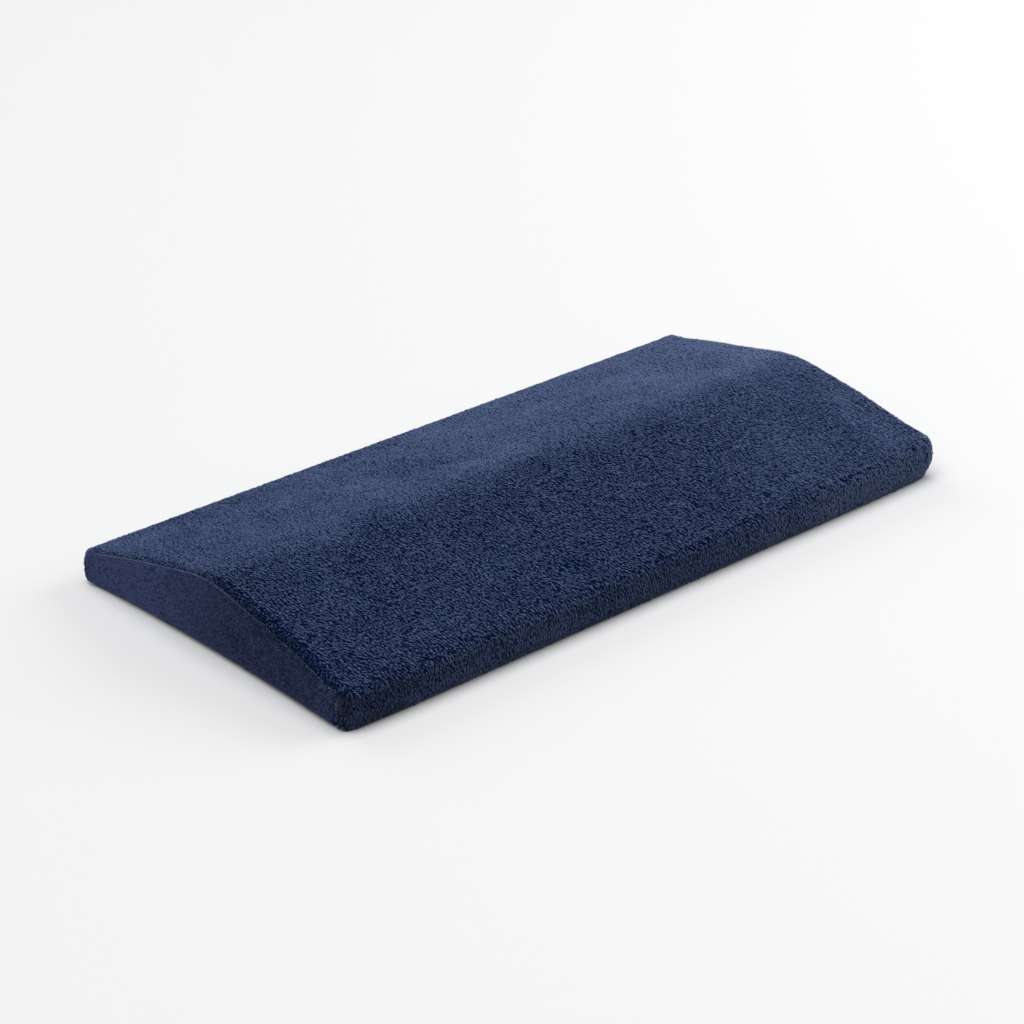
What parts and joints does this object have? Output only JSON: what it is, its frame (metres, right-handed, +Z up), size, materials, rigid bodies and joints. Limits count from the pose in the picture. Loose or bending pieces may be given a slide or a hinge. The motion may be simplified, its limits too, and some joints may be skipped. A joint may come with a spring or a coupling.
{
  "type": "lumbar wedge pillow",
  "caption": "Long low wedge pillow with a rounded off-centre ridge, a flat base, a short-pile plush cover and smooth cloth end panels.",
  "frame": {"origin": "on the floor, at the middle of the flat base's bounding box", "axes": "+X along the pillow's length to its right end as seen from the front, +Y from the front wall to the back wall, +Z up from the flat base"},
  "size_m": [0.6, 0.3056, 0.063],
  "materials": {
    "plush": "navy short-pile plush, matt with a soft sheen along the nap",
    "end_cloth": "navy suede-like cloth, matt and slightly mottled"
  },
  "bodies": {
    "root": {"plush_wedge": "plush", "end_panel_left": "end_cloth", "end_panel_right": "end_cloth"}
  },
  "joints": []
}
